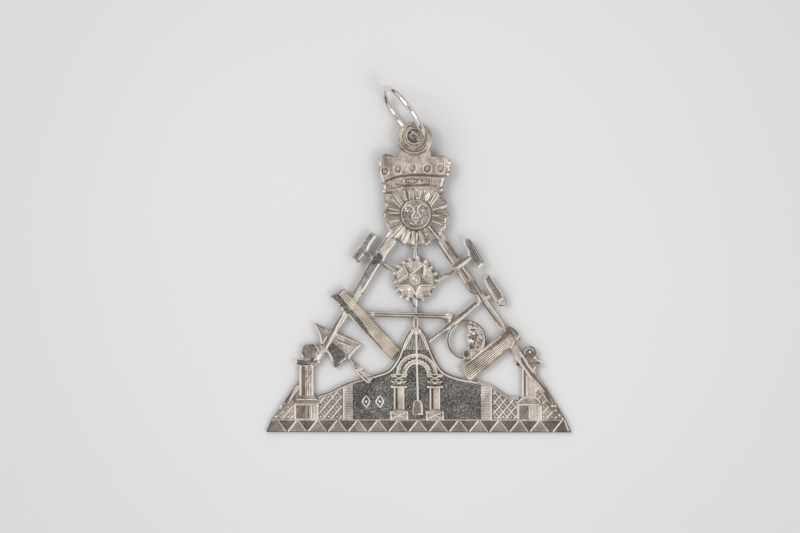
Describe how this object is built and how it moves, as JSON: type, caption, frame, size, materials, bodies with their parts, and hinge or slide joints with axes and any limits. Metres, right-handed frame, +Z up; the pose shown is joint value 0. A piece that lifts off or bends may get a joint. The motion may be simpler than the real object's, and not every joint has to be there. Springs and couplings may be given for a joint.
{
  "type": "masonic jewel",
  "caption": "Triangular pierced silver jewel with crown, sun, star, compass legs, tools, moon and arch over a zigzag base, hung from a jump ring.",
  "frame": {"origin": "middle of the bottom of the whole object's box, on the surface it lies on", "axes": "+X to the right across the base edge as the front is seen, +Y from the base edge towards the ring, +Z up from the surface, out of the front face"},
  "size_m": [0.06, 0.0682, 0.0126],
  "materials": {
    "plate_silver": "cast and engraved silver, satin, dark in the sunk grounds",
    "ring_silver": "polished silver wire"
  },
  "bodies": {
    "root": {"jewel_plate": "plate_silver", "jump_ring": "ring_silver"}
  },
  "joints": []
}
